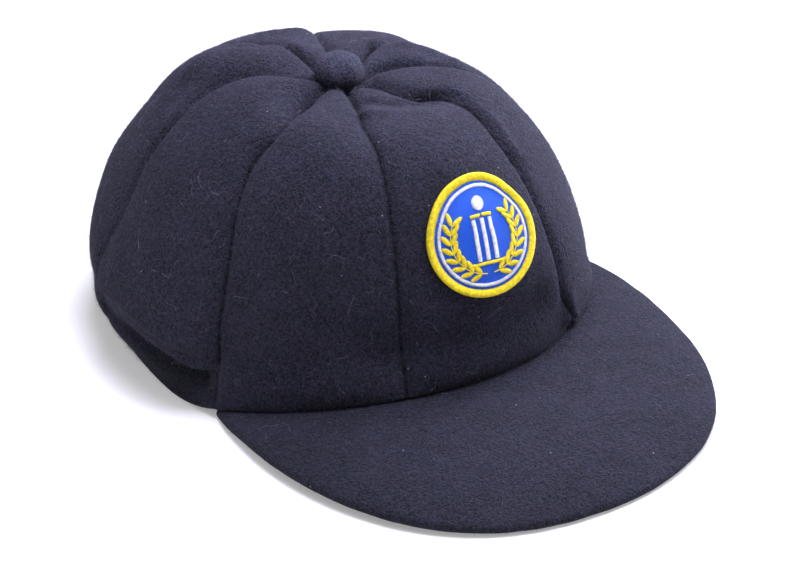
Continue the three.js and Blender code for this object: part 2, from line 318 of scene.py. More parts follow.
def drawn_to(skin, points, share, gap):
    """The points, with those within a gap of the skin drawn by this share of the way to it."""
    drawn = points.copy()
    far = 3 * gap
    for index, point in enumerate(points):
        place, _, _, distance = skin.find_nearest(Vector(point), far)
        if place is not None:
            drawn[index] += (np.array(place) - point) * share * (1 - rise(distance, gap, far))
    return drawn


def dress(piece, material, slot, *nodes):
    """Gives a piece its material, and says what it rides and the nodes that it stands for; its slot is not
    used.
    """
    piece.data.materials.append(material)
    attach(piece, BODY)
    if nodes:
        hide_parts(*nodes)


# Sculpting

def outward_from_heart(points):
    away = points - np.array(CROWN_HEART)
    reach = np.linalg.norm(away, axis=1)
    return away / reach[:, None], reach


def outward_share(points, normals):
    """1 on the outer face of the crown, 0 on its inner face."""
    return rise((outward_from_heart(points)[0] * normals).sum(axis=1), -0.15, 0.25)


def seen_place(skin, pixel):
    """Where the photograph's pixel meets the skin, and the skin's normal there."""
    camera = bpy.context.scene.camera
    focal = camera.data.lens / SENSOR * IMAGE[0]
    aim = Vector((pixel[0] - IMAGE[0] / 2, IMAGE[1] / 2 - pixel[1], -focal))
    ray = camera.matrix_world.to_3x3() @ aim.normalized()
    place, normal, _, _ = skin.ray_cast(camera.matrix_world.translation, ray)
    if place is None:
        raise ValueError(f"pixel {pixel} misses the cap")
    return place, normal


def along_path(points, path):
    """Each point's distance from the path, its side of it from 1 on the left to -1 on the right, and the
    share of the path passed.

    Points and path are set on one sphere round the crown's heart, so both faces of the cloth agree.
    """
    rays, reach = outward_from_heart(np.array(path))
    reach = reach.mean()
    path = rays * reach
    outward = outward_from_heart(points)[0]
    spread = outward * reach
    count = len(path) - 1
    best = np.full(len(points), np.inf)
    side = np.zeros(len(points))
    passed = np.zeros(len(points))
    for index in range(count):
        step = path[index + 1] - path[index]
        place = np.clip((spread - path[index]) @ step / (step @ step), 0, 1)
        gap = spread - path[index] - place[:, None] * step
        distance = np.linalg.norm(gap, axis=1)
        closer = distance < best
        best[closer] = distance[closer]
        across = np.cross(outward, step)
        size = np.linalg.norm(across, axis=1) * distance + 1e-12
        side[closer] = ((gap * across).sum(axis=1) / size)[closer]
        passed[closer] = (index + place[closer]) / count
    return best, side, passed


class Sculptor:
    """Moves points of the crown's cloth; what lies on the crown is moved the same way."""

    def __init__(self, wool):
        self.wool = wool
        self.skin = skin_of(PANELS)
        self.peak = skin_of(["peak"])
        low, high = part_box("button")
        self.button = (np.array(low) + np.array(high)) / 2
        self.folds = [
            (row, [seen_place(self.skin, pixel)[0] for pixel in row["path"]]) for row in FOLDS.values()
        ]
        self.pulls = [self.pull_of(row) for row in PULLS.values()]

    def pull_of(self, row):
        """A pull's place and its move along the cloth, which shows the wanted shift in the photograph."""
        camera = bpy.context.scene.camera
        right, up, back = (np.array(axis) for axis in camera.matrix_world.to_3x3().transposed())
        place, normal = (np.array(part) for part in seen_place(self.skin, row["at"]))
        far = np.linalg.norm(np.array(camera.matrix_world.translation) - place)
        pixel = far * SENSOR / camera.data.lens / IMAGE[0]
        shift = (right * row["by"][0] - up * row["by"][1]) * pixel
        facing = max(back @ normal, LEAST_FACING)
        return place, shift - back * (shift @ normal) / facing, row["wide"] * MM

    def seam_sizes(self, points, *kinds):
        """Sizes of a seam at each point, from their values by the button and low on the crown."""
        top = faded(np.linalg.norm(points - self.button, axis=1), SEAM["fall"] * MM)
        low, high = SEAM["low"], SEAM["top"]
        return [(low[kind] + (high[kind] - low[kind]) * top) * MM for kind in kinds]

    def seam_line_and_shade(self, points, seam_gap):
        """1 on a seam, fading to 0 beside it, for the dark stitched line and the painted shade in the seam's
        crevice.
        """
        return faded(seam_gap, self.seam_sizes(points, "line")[0])

    def moved(self, points, seam_gap=None):
        """The points after the waves, the seams' pull, the pulls and the folds; seam_gap is their distance
        from the next panel."""
        outward, _ = outward_from_heart(points)
        apart = {
            "button": np.linalg.norm(points - self.button, axis=1),
            "table": points[:, 2],
            "peak": distance_to(self.peak, points, FAR * MM),
        }

        def free(kind):
            """1 where the cloth moves fully in this way, 0 where it is held."""
            return math.prod(rise(apart[at], low * MM, high * MM) for at, (low, high) in HELD[kind].items())

        sphere = outward * UNEVEN["radius"] * MM
        out = unevenness(sphere, UNEVEN["waves"] * MM, 1) * self.wool.waves
        out += unevenness(sphere, UNEVEN["ripples"] * MM, 2) * self.wool.ripples
        out *= free("waves")
        if seam_gap is not None:
            depth, reach = self.seam_sizes(points, "depth", "reach")
            pucker = 1 + SEAM["pucker"] * unevenness(sphere, UNEVEN["pucker"] * MM, 3)
            out -= depth * faded(seam_gap, reach) * pucker * free("seams")
        moved = points + outward * out[:, None]
        shift = np.zeros_like(points)
        for place, move, wide in self.pulls:
            # A path of almost no length gives the distance from one place
            distance, _, _ = along_path(points, [place, place + np.array((0, 0, 1e-6))])
            shift += move * faded(distance, wide)[:, None]
        moved += shift * free("pulls")[:, None]
        sink = np.zeros(len(points))
        for row, path in self.folds:
            distance, side, passed = along_path(moved, path)
            left, right = row["wide"]
            start, end = row["deep"]
            reach = (left + right + (left - right) * side) / 2 * MM
            sink += (start + (end - start) * passed) * MM * faded(distance, reach)
        sink = np.where(sink < 0, sink * free("ridges"), sink) * free("folds")
        moved -= outward * sink[:, None]
        moved[:, 2] = np.maximum(moved[:, 2], 0)
        return moved


# Materials

# The wool's layers of noise: bumps a metre, detail, roughness, the stretch of values that counts, and the
# layer's weight in the colour and in the relief
FELT = {
    "cloudy": {"scale": 60, "detail": 3, "rough": 0.5, "range": (0.3, 0.7), "tone": 0.14, "relief": 0},
    "clumpy": {"scale": 480, "detail": 3, "rough": 0.5, "range": (0.3, 0.7), "tone": 0.12, "relief": 0.4},
    "grainy": {"scale": 1000, "detail": 3, "rough": 0.7, "range": (0.35, 0.67), "tone": 0.56, "relief": 0.5},
    "fine": {"scale": 1900, "detail": 1, "rough": 0.5, "range": (0.36, 0.64), "tone": 0.28, "relief": 0.25},
}
ASIDE = (0.31, 0.17, 0.23)  # moves a noise so that it doesn't repeat another

# Curly hairs on the wool, wide and narrow, with their weights, and how much darker the whole is
HAIRS = {"wide": {"scale": 230, "thin": 0.02}, "narrow": {"scale": 330, "thin": 0.028}}
HAIR_TONE, HAIR_RELIEF, FLECK_TONE, DARKER = 0.34, 0.2, 1.3, 0.1

# Two hues that the wool wanders between, in bumps a metre
TINGE = {"scale": 150, "range": (0.38, 0.62), "aside": (0.7, 0.2, 0.4)}
TINGE_COLOURS = ((0.93, 1.01, 1.0, 1), (1.06, 0.98, 1.02, 1))

# The wool's pale flecks and its lint: cells a metre, size, and the share of cells left empty
FLECKS = {"scale": 330, "size": 0.16, "empty": 0.55}
LINT = {"scale": 190, "size": 0.062, "empty": 0.6}
LINT_COLOUR = (0.35, 0.35, 0.42, 1)
# Near black of the seams: the dark stitched line, and painted shade in the crevice between panels
SEAM_SHADE_COLOUR = (0.002, 0.002, 0.003, 1)
TWILL = {"Scale": 640.0, "Distortion": 0.5, "Detail": 2.0, "Detail Scale": 3.0}
TWILL_DARK, THREAD_DARK, WHITE = (0.6, 0.6, 0.65, 1), (0.72, 0.72, 0.74, 1), (1, 1, 1, 1)
RELIEF = {"wool": 0.62, "button": 0.25, "thread": 0.05, "twill": 0.18}

# The shader's even values for each finish
FINISH = {
    "wool": {"Roughness": 0.95, "Specular IOR Level": 0.15, "Sheen Roughness": 0.45},
    "fibre": {"Roughness": 0.7, "Specular IOR Level": 0.3},
    "thread": {"Roughness": 0.55, "Specular IOR Level": 0.3},
    "twill": {"Roughness": 0.6, "Specular IOR Level": 0.3},
    "floor": {"Roughness": 0.9, "Emission Color": WHITE},
}


def group_of(name, inputs, outputs):
    """A new shader node group with the given sockets, its tree, and its two end nodes."""
    tree = bpy.data.node_groups.new(name, "ShaderNodeTree")
    for label, kind, value in inputs:
        socket = tree.interface.new_socket(label, in_out="INPUT", socket_type=kind)
        socket.default_value = value
    for label, kind in outputs:
        tree.interface.new_socket(label, in_out="OUTPUT", socket_type=kind)
    return tree, tree.nodes.new("NodeGroupInput"), tree.nodes.new("NodeGroupOutput")


def shared(name, build):
    """The node group of that name, which build makes the first time."""
    return bpy.data.node_groups.get(name) or build(name)


def node(tree, kind, links=None, **settings):
    """Adds a node, sets its properties, and sets or links its input sockets."""
    made = tree.nodes.new(kind)
    for label, value in settings.items():
        setattr(made, label, value)
    for socket, value in (links or {}).items():
        if isinstance(value, bpy.types.NodeSocket):
            tree.links.new(value, made.inputs[socket])
        else:
            made.inputs[socket].default_value = value
    return made


def mixed(tree, share, first, second, blend="MIX"):
    """A colour mix; share, first and second are sockets or plain values."""
    made = node(tree, "ShaderNodeMix", data_type="RGBA", blend_type=blend)
    for index, value in ((0, share), (6, first), (7, second)):
        if isinstance(value, bpy.types.NodeSocket):
            tree.links.new(value, made.inputs[index])
        else:
            made.inputs[index].default_value = value
    return made.outputs[2]


def maths(tree, kind, first, second=0.0, third=0.0):
    return node(tree, "ShaderNodeMath", {0: first, 1: second, 2: third}, operation=kind).outputs[0]


def ranged(tree, value, low, high, to_low=0.0, to_high=1.0):
    links = {"Value": value, "From Min": low, "From Max": high, "To Min": to_low, "To Max": to_high}
    return node(tree, "ShaderNodeMapRange", links, interpolation_type="SMOOTHSTEP").outputs[0]


def noise_of(tree, place, scale, detail=2.0, **more):
    """A noise texture's value at the place, with scale in bumps a metre."""
    links = {"Vector": place, "Scale": scale, "Detail": detail, **more}
    return node(tree, "ShaderNodeTexNoise", links).outputs["Fac"]


def shifted(tree, place, shift):
    return node(tree, "ShaderNodeVectorMath", {0: place, 1: shift}, operation="ADD").outputs[0]


def hair_lines(tree, place, scale, thin):
    """Thin curly lines: the places where a noise passes through its middle, broken up by another."""
    wander = noise_of(tree, place, scale, 2.0, Distortion=0.4)
    off = maths(tree, "ABSOLUTE", maths(tree, "SUBTRACT", wander, 0.5))
    line = ranged(tree, off, thin, 0.0)
    broken = ranged(tree, noise_of(tree, place, scale * 0.9, 1.0), 0.5, 0.62)
    return maths(tree, "MULTIPLY", line, broken)


def specks(tree, place, scale, size, empty):
    """Small spots, one at the most in each cell of the given scale; empty is the share of empty cells."""
    cells = node(tree, "ShaderNodeTexVoronoi", {"Vector": place, "Scale": scale})
    spot = ranged(tree, cells.outputs["Distance"], size, 0.4 * size)
    picked = node(tree, "ShaderNodeSeparateColor", {"Color": cells.outputs["Color"]})
    return maths(tree, "MULTIPLY", spot, maths(tree, "GREATER_THAN", picked.outputs[0], empty))


def summed(tree, *terms):
    """Adds values, each times its own weight."""
    total = 0.0
    for value, weight in terms:
        total = maths(tree, "MULTIPLY_ADD", value, weight, total)
    return total


def felt_group(name):
    """Milled wool: slate and purple clouds, felted grain, curly pale fibres, specks of lint, and a dark seam
    line that is partly painted shade.
    """
    inputs = (
        ("Deep", "NodeSocketColor", (0.01, 0.01, 0.02, 1)),
        ("Pale", "NodeSocketColor", (0.05, 0.05, 0.09, 1)),
        ("Seam", "NodeSocketFloat", 0.0),
    )
    outputs = (("Colour", "NodeSocketColor"), ("Height", "NodeSocketFloat"))
    tree, start, end = group_of(name, inputs, outputs)
    place = node(tree, "ShaderNodeTexCoord").outputs["Object"]
    aside = shifted(tree, place, ASIDE)
    layers = {}
    for label, row in FELT.items():
        at = aside if label == "fine" else place
        layer = noise_of(tree, at, row["scale"], row["detail"], Roughness=row["rough"])
        layers[label] = ranged(tree, layer, *row["range"])
    hairs = hair_lines(tree, place, **HAIRS["wide"])
    hairs = maths(tree, "MAXIMUM", hairs, hair_lines(tree, aside, **HAIRS["narrow"]))
    tones = [(layers[label], row["tone"]) for label, row in FELT.items()]
    flecks = specks(tree, aside, **FLECKS)
    share = summed(tree, *tones, (hairs, HAIR_TONE), (flecks, FLECK_TONE), (1.0, -DARKER))
    cloth = mixed(tree, share, start.outputs["Deep"], start.outputs["Pale"])
    tinge = noise_of(tree, shifted(tree, place, TINGE["aside"]), TINGE["scale"])
    hue = mixed(tree, ranged(tree, tinge, *TINGE["range"]), *TINGE_COLOURS)
    cloth = mixed(tree, 1.0, cloth, hue, "MULTIPLY")
    # Painted shade: along the seams the cloth is mixed towards near black, for the stitched line and the
    # shade in the crevice
    broken = summed(tree, (layers["clumpy"], 0.7), (0.6, 1.0))
    line = maths(tree, "MULTIPLY", start.outputs["Seam"], broken)
    cloth = mixed(tree, ranged(tree, line, 0.25, 0.95), cloth, SEAM_SHADE_COLOUR)
    coloured = mixed(tree, specks(tree, place, **LINT), cloth, LINT_COLOUR)
    reliefs = [(layers[label], row["relief"]) for label, row in FELT.items()]
    height = summed(tree, *reliefs, (hairs, HAIR_RELIEF))
    tree.links.new(coloured, end.inputs["Colour"])
    tree.links.new(height, end.inputs["Height"])
    return tree


def thread_group(name):
    """Embroidery thread: fine shine lines and a shade that differs a little from thread to thread."""
    inputs = (("Thread", "NodeSocketColor", (0.5, 0.5, 0.5, 1)),)
    outputs = (("Colour", "NodeSocketColor"), ("Height", "NodeSocketFloat"))
    tree, start, end = group_of(name, inputs, outputs)
    place = node(tree, "ShaderNodeTexCoord").outputs["Object"]
    uneven = ranged(tree, noise_of(tree, place, 900.0, 2.0), 0.3, 0.7)
    fine = noise_of(tree, place, 5200.0, 1.0)
    shade = mixed(tree, uneven, THREAD_DARK, WHITE)
    coloured = mixed(tree, 1.0, start.outputs["Thread"], shade, "MULTIPLY")
    tree.links.new(coloured, end.inputs["Colour"])
    tree.links.new(fine, end.inputs["Height"])
    return tree


def fibre_group(name):
    """A fine fibre whose shade wanders a little from place to place."""
    inputs = (("Fibre", "NodeSocketColor", (0.1, 0.1, 0.1, 1)),)
    tree, start, end = group_of(name, inputs, (("Colour", "NodeSocketColor"),))
    place = node(tree, "ShaderNodeTexCoord").outputs["Object"]
    drift = ranged(tree, noise_of(tree, place, 300.0, 1.0), 0.3, 0.7, 0.45, 1.0)
    coloured = mixed(tree, drift, (0, 0, 0, 1), start.outputs["Fibre"])
    tree.links.new(coloured, end.inputs["Colour"])
    return tree


def new_material(name, finish):
    """A material, its tree, and its shader with the finish's even values."""
    material = bpy.data.materials.new(name)
    material.use_nodes = True
    shader = material.node_tree.nodes["Principled BSDF"]
    for socket, value in FINISH[finish].items():
        shader.inputs[socket].default_value = value
    return material, material.node_tree, shader


def coated(tree, shader, colour, height, depth):
    """Gives the shader its colour, and relief from the height, to a depth in millimetres."""
    bump = node(tree, "ShaderNodeBump", {"Height": height, "Distance": depth * MM, "Strength": 1.0})
    tree.links.new(colour, shader.inputs["Base Color"])
    tree.links.new(bump.outputs["Normal"], shader.inputs["Normal"])


def wool_material(name, pale, relief="wool"):
    """Dark milled wool with a soft sheen."""
    wool = bpy.context.scene.cap_wool
    material, tree, shader = new_material(name, "wool")
    # The seam mask: the dark stitched line, and painted shade in the crevice between panels
    seam = node(tree, "ShaderNodeAttribute", attribute_name="seam")
    values = {"Deep": (*wool.deep, 1), "Pale": (*pale, 1), "Seam": seam.outputs["Fac"]}
    felt = node(tree, "ShaderNodeGroup", values, node_tree=shared("Milled Wool", felt_group))
    coated(tree, shader, felt.outputs["Colour"], felt.outputs["Height"], RELIEF[relief])
    shader.inputs["Sheen Weight"].default_value = wool.sheen
    shader.inputs["Sheen Tint"].default_value = (*wool.sheen_colour, 1)
    return material


def fibre_material(name, colour):
    """A plain fine fibre."""
    material, tree, shader = new_material(name, "fibre")
    group = shared("Loose Fibre", fibre_group)
    fibre = node(tree, "ShaderNodeGroup", {"Fibre": (*colour, 1)}, node_tree=group)
    tree.links.new(fibre.outputs["Colour"], shader.inputs["Base Color"])
    return material


def thread_node(tree, colour):
    group = shared("Embroidery Thread", thread_group)
    return node(tree, "ShaderNodeGroup", {"Thread": (*colour, 1)}, node_tree=group)


def thread_material(name, colour):
    """Shiny embroidery thread."""
    material, tree, shader = new_material(name, "thread")
    thread = thread_node(tree, colour)
    coated(tree, shader, thread.outputs["Colour"], thread.outputs["Height"], RELIEF["thread"])
    return material


def twill_material(name, colour):
    """The patch's ground: slanting thread lines across its own UV map, which is in metres."""
    material, tree, shader = new_material(name, "twill")
    thread = thread_node(tree, colour)
    place = node(tree, "ShaderNodeUVMap", uv_map="patch").outputs["UV"]
    wave = node(tree, "ShaderNodeTexWave", {"Vector": place, **TWILL}, bands_direction="DIAGONAL")
    lines = wave.outputs["Fac"]
    shade = mixed(tree, ranged(tree, lines, 0.0, 0.55), TWILL_DARK, WHITE)
    coloured = mixed(tree, 1.0, thread.outputs["Colour"], shade, "MULTIPLY")
    coated(tree, shader, coloured, lines, RELIEF["twill"])
    return material


# Wool shells

class CAP_OT_crown(bpy.types.Operator):
    """Builds the eight wool panels of the crown"""

    bl_idname = "cap.crown"
    bl_label = "Build Crown Panels"

    def execute(self, context):
        wool = context.scene.cap_wool
        material = wool_material("crown_wool", wool.pale)
        sculptor = Sculptor(wool)
        for name in PANELS:
            bm = node_quads(name)
            crease_rims(bm)
            piece = subdivided(name.replace("panel", "wool"), bm, wool.levels)
            points = points_of(piece.data)
            others = skin_of([other for other in PANELS if other != name])
            seam_gap = distance_to(others, points, FAR * MM)
            points = drawn_to(others, points, SEAM["drawn"], SEAM["gap"] * MM)
            set_points(piece.data, sculptor.moved(points, seam_gap))
            # The seam mask that darkens the wool: the dark stitched line, and painted shade in the crevice
            # between panels
            mask_points(piece.data, "seam", sculptor.seam_line_and_shade(points, seam_gap))
            dress(piece, material, "crown_wool", name)
        return {"FINISHED"}


class CAP_OT_peak(bpy.types.Operator):
    """Builds the wool-covered peak"""

    bl_idname = "cap.peak"
    bl_label = "Build Peak"

    def execute(self, context):
        wool = context.scene.cap_wool
        bm = node_quads("peak")
        crease_rims(bm, amount=0.2)
        piece = subdivided("wool_peak", bm, wool.levels)
        points = points_of(piece.data)
        normals = points_of(piece.data, "normal")
        start, full = PEAK_UNEVEN["from_crown"]
        free = rise(distance_to(skin_of(PANELS), points, FAR * MM), start * MM, full * MM)
        move = unevenness(points, PEAK_UNEVEN["waves"] * MM, 4) * wool.waves * PEAK_UNEVEN["share"]
        move += unevenness(points, PEAK_UNEVEN["ripples"] * MM, 5) * wool.ripples
        moved = points + normals * (move * free)[:, None]
        moved[:, 2] = np.maximum(moved[:, 2], 0)
        set_points(piece.data, moved)
        # The peak's wool is a darker copy of the crown's wool: painted shade, for the light that the peak
        # lacks
        dress(piece, wool_material("peak_wool", wool.peak_pale_shaded), "peak_wool", "peak")
        return {"FINISHED"}


class CAP_OT_button(bpy.types.Operator):
    """Builds the covered button on top of the crown"""

    bl_idname = "cap.button"
    bl_label = "Build Button"

    def execute(self, context):
        wool = context.scene.cap_wool
        bm = node_quads("button")
        piece = subdivided("wool_button", bm, 2)
        points = filled_out(points_of(piece.data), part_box("button")) + np.array(BUTTON_SET) * MM
        set_points(piece.data, points)
        normals = points_of(piece.data, "normal")
        move = unevenness(points, BUTTON_UNEVEN["ripples"] * MM, 6) * wool.ripples * BUTTON_UNEVEN["share"]
        set_points(piece.data, points + normals * move[:, None])
        # The button's wool is a lighter copy of the crown's wool: painted light on the button
        dress(piece, wool_material("button_wool", wool.button_pale_lit, "button"), "button_wool", "button")
        return {"FINISHED"}


# Fuzz and stray fibres

# Fuzz: its tilt from upright in degrees, its length as a share of the set one, and the share of the hairs
# that are longer by a whole length
FUZZ = {"tilt": (8, 80), "length": (0.35, 1.3), "long_share": 0.06}

# Loose fibres: the steps of each, its length as a share of the set one, how far the lengths keep to the
# short side, how far a fibre turns and curls in radians, how steeply it rises, and how thin its tip gets
STRAY = {"steps": 10, "length": (0.3, 1.5), "short": 1.4, "turn": 2.2, "curl": 1.1, "lift": 0.16, "thin": 0.6}
HEM_HEIGHT = 24  # the hem's rim lies below this height
HEM_FACING = -0.55  # and faces down at least so far


def surface_samples(pieces, count, seed, where):
    """Evenly spread points on the pieces' faces, with the normals there; where is all, outside or hem."""
    corners = []
    normals = []
    for piece in pieces:
        mesh = piece.data
        mesh.calc_loop_triangles()
        index = np.empty(len(mesh.loop_triangles) * 3, dtype=np.int32)
        mesh.loop_triangles.foreach_get("vertices", index)
        corners.append(points_of(mesh)[index].reshape(-1, 3, 3))
        normals.append(points_of(mesh, "normal")[index].reshape(-1, 3, 3).mean(axis=1))
    corners = np.concatenate(corners)
    normals = np.concatenate(normals)
    normals /= np.linalg.norm(normals, axis=1)[:, None] + 1e-12
    area = np.linalg.norm(np.cross(corners[:, 1] - corners[:, 0], corners[:, 2] - corners[:, 0]), axis=1)
    if where == "outside":
        area = area * (outward_share(corners.mean(axis=1), normals) > 0.5)
    if where == "hem":
        area = area * (normals[:, 2] < HEM_FACING) * (corners[:, :, 2].mean(axis=1) < HEM_HEIGHT * MM)
    random = np.random.default_rng(seed)
    chosen = random.choice(len(area), size=count, p=area / area.sum())
    first, second = random.random(count), random.random(count)
    folded = first + second > 1
    first[folded], second[folded] = 1 - first[folded], 1 - second[folded]
    corner = corners[chosen]
    spread = first[:, None] * (corner[:, 1] - corner[:, 0]) + second[:, None] * (corner[:, 2] - corner[:, 0])
    return corner[:, 0] + spread, normals[chosen], random


def across_of(direction, random):
    """A random unit vector square to each direction, and the one square to both."""
    loose = random.normal(size=direction.shape)
    first = np.cross(direction, loose)
    first /= np.linalg.norm(first, axis=1)[:, None]
    return first, np.cross(direction, first)


def thread_mold(sides, steps, pointed):
    """A thread of radius 1 with rings of points from 0 to 1 along Z: its points and its faces by corners."""
    bm = bmesh.new()
    tip = 0 if pointed else 1
    bmesh.ops.create_cone(bm, cap_ends=True, segments=sides, radius1=1, radius2=tip, depth=1)
    long = [edge for edge in bm.edges if abs(edge.verts[0].co.z - edge.verts[1].co.z) > 0.5]
    if steps > 1:
        bmesh.ops.subdivide_edges(bm, edges=long, cuts=steps - 1)
    bm.verts.index_update()
    points = np.array([(vert.co.x, vert.co.y, vert.co.z + 0.5) for vert in bm.verts])
    faces = {}
    for face in bm.faces:
        faces.setdefault(len(face.verts), []).append([vert.index for vert in face.verts])
    bm.free()
    return points, [np.array(group) for group in faces.values()]


def threads(name, lines, aside, widths, sides, pointed=False):
    """One mesh of many threads: lines holds each thread's points, aside a direction across each of them,
    and widths its radius at each step."""
    count, rings, _ = lines.shape
    mold, faces = thread_mold(sides, rings - 1, pointed)
    step = np.rint(mold[:, 2] * (rings - 1)).astype(int)
    ahead = np.gradient(lines, axis=1)
    ahead /= np.linalg.norm(ahead, axis=2)[:, :, None] + 1e-12
    across = np.cross(ahead, aside)
    across /= np.linalg.norm(across, axis=2)[:, :, None] + 1e-12
    over = np.cross(across, ahead)
    wide = np.asarray(widths)[step][None, :, None]
    points = lines[:, step] + wide * (mold[:, 0][None, :, None] * across[:, step])
    points = points + wide * (mold[:, 1][None, :, None] * over[:, step])
    points[:, :, 2] = np.maximum(points[:, :, 2], 0)
    starts = len(mold) * np.arange(count)[:, None, None]
    flat = [(starts + group[None]).reshape(-1, group.shape[1]).tolist() for group in faces]
    mesh = bpy.data.meshes.new(name)
    mesh.from_pydata(points.reshape(-1, 3).tolist(), [], [face for group in flat for face in group])
    mesh.update()
    bm = bmesh.new()
    bm.from_mesh(mesh)
    bmesh.ops.recalc_face_normals(bm, faces=bm.faces)
    bm.to_mesh(mesh)
    bm.free()
    return add_object(name, mesh)


def fuzz(name, pieces, count, seed, where, slot, material):
    """Short pointed wool ends that stand out of the cloth."""
    wool = bpy.context.scene.cap_wool
    root, normal, random = surface_samples(pieces, count, seed, where)
    tangent, _ = across_of(normal, random)
    tilt = np.radians(random.uniform(*FUZZ["tilt"], count))[:, None]
    along = normal * np.cos(tilt) + tangent * np.sin(tilt)
    long = random.random(count) > 1 - FUZZ["long_share"]
    length = wool.fuzz_length * (random.uniform(*FUZZ["length"], count) + long)[:, None]
    lines = np.stack([root - normal * wool.fuzz_radius, root + along * length], axis=1)
    aside, _ = across_of(along, random)
    aside = np.repeat(aside[:, None], 2, axis=1)
    piece = threads(name, lines, aside, [wool.fuzz_radius, wool.fuzz_radius], 3, pointed=True)
    dress(piece, material, slot)


def stray_fibres(name, pieces, count, seed, where, slot, material):
    """Long loose fibres that lie on the cloth and wander as they go."""
    wool = bpy.context.scene.cap_wool
    steps = STRAY["steps"]
    root, normal, random = surface_samples(pieces, count, seed, where)
    tangent, aside = across_of(normal, random)
    length = wool.stray_length * random.uniform(*STRAY["length"], count) ** STRAY["short"]
    turn = random.uniform(-STRAY["turn"], STRAY["turn"], count)
    curl, phase = random.uniform(0, STRAY["curl"], count), random.uniform(0, 6.28, count)
    lift = random.uniform(0, STRAY["lift"], count)[:, None]
    place = root + normal * wool.stray_radius
    lines = [place]
    for step in range(steps):
        share = (step + 0.5) / steps
        angle = turn * share + curl * np.sin(phase + 7 * share)
        move = tangent * np.cos(angle)[:, None] + aside * np.sin(angle)[:, None]
        move = move + normal * lift * math.cos(share * math.pi * 0.8)
        place = place + move * (length / steps)[:, None]
        lines.append(place)
    lines = np.stack(lines, axis=1)
    widths = wool.stray_radius * (1 - STRAY["thin"] * np.linspace(0, 1, steps + 1) ** 2)
    piece = threads(name, lines, np.repeat(normal[:, None], steps + 1, axis=1), widths, 3)
    dress(piece, material, slot)


class CAP_OT_fuzz(bpy.types.Operator):
    """Grows the wool's fuzz and its long stray fibres"""

    bl_idname = "cap.fuzz"
    bl_label = "Grow Fuzz"

    def execute(self, context):
        wool = context.scene.cap_wool
        crown = [bpy.data.objects[name.replace("panel", "wool")] for name in PANELS]
        peak = [bpy.data.objects["wool_peak"]]
        button = [bpy.data.objects["wool_button"]]
        ends = fibre_material("wool_ends", wool.fuzz_colour)
        for seed, piece in enumerate(crown, 11):
            name = piece.name.replace("wool", "fuzz")
            fuzz(name, [piece], wool.fuzz_count, seed, "outside", "crown_wool", ends)
        fuzz("fuzz_peak", peak, wool.fuzz_count * 2, 31, "all", "peak_wool", ends)
        fuzz("fuzz_button", button, wool.fuzz_count // 12, 32, "all", "button_wool", ends)
        fuzz("fuzz_hem", crown, wool.fuzz_count // 4, 33, "hem", "crown_wool", ends)
        loose = fibre_material("wool_strays", wool.stray_colour)
        stray_fibres("crown_strays", crown, wool.stray_count, 21, "outside", "crown_wool", loose)
        stray_fibres("peak_strays", peak, wool.stray_count // 3, 22, "all", "peak_wool", loose)
        return {"FINISHED"}


# Patch

# Sizes of the embroidery about the patch's middle: up is towards the button, right is the wearer's left
STITCH = {"pitch": 0.36, "half": 0.21, "arch": 0.32, "sunk": 0.02, "shape": (0.6, 1, 1, 1, 0.6)}
PATCH_RADIUS = 21.5
BORDER = {"inner": 19.3, "edge": 20.5, "outer": 22.0, "count": 240, "slant": 2.4, "half": 0.32}
BORDER_RISE = (0, 0.5, 0.75, 0.62, 0.1, -1.1)
BORDER_SHAPE = (0.6, 1, 1, 1, 1, 0.7)
RING = {"inner": 17.1, "outer": 18.3, "count": 250}
STUMPS = {"aside": (-3.5, 0, 3.5), "foot": -8.8, "top": 6.2, "wide": 1.7}
BAILS = {"spans": ((-4.4, -0.35), (0.35, 4.4)), "foot": 6.7, "top": 7.9}
CREASE_LINE = {"half": 7.2, "foot": -10.5, "top": -9.3}
BALL = {"up": 11.6, "radius": 2.5}
LAUREL = {"radius": 13.6, "from": 16, "to": 118, "leaves": 8, "long": 4.6, "wide": 1.9, "splay": 34}
STEM = {"from": 6, "places": 40, "to_leaf": 0.35}
RIM_PLACES = 25
ABOVE = 20  # rays are cast on the patch from this height


def ray_at(degrees):
    """The unit vector at this angle on the flat patch, from right towards up."""
    return np.array((math.cos(math.radians(degrees)), math.sin(math.radians(degrees))))


def stitch_places(low, high):
    """Middles of the stitches that fill the way from low to high."""
    count = round((high - low) / STITCH["pitch"])
    return [low + (index + 0.5) * (high - low) / count for index in range(count)]


def bar_across(left, right, foot, top):
    return [((left, up), (right, up)) for up in stitch_places(foot, top)]


def bar_up(left, right, foot, top):
    return [((aside, foot), (aside, top)) for aside in stitch_places(left, right)]


def satin_oval(middle, turn, long, wide):
    """Stitches across a leaf or a ball whose long axis points along turn, in degrees."""
    count = max(3, round(long / STITCH["pitch"]))
    ahead, aside = ray_at(turn), ray_at(turn + 90)
    stitches = []
    for index in range(count):
        share = (index + 0.5) / count * 2 - 1
        half = wide / 2 * math.sqrt(1 - share * share)
        at = np.array(middle) + ahead * share * long / 2
        stitches.append((at - aside * half, at + aside * half))
    return stitches


def ring_stitches():
    rays = [ray_at(360 * index / RING["count"]) for index in range(RING["count"])]
    return [(ray * RING["inner"], ray * RING["outer"]) for ray in rays]


def laurel_stitches():
    """Two sprays of leaves that rise from the bottom on both sides, with a stem along their middle."""
    stitches = []
    for side in (-1, 1):
        for turn in -90 + side * np.linspace(LAUREL["from"], LAUREL["to"], LAUREL["leaves"]):
            for out in (-1, 1):
                heading = turn + side * (90 - out * LAUREL["splay"])
                root = ray_at(turn) * (LAUREL["radius"] + out * STEM["to_leaf"])
                middle = root + ray_at(heading) * LAUREL["long"] / 2
                stitches += satin_oval(middle, heading, LAUREL["long"], LAUREL["wide"])
        turns = -90 + side * np.linspace(STEM["from"], LAUREL["to"], STEM["places"])
        places = [ray_at(turn) * LAUREL["radius"] for turn in turns]
        stitches += list(zip(places[:-1], places[1:]))
    return stitches


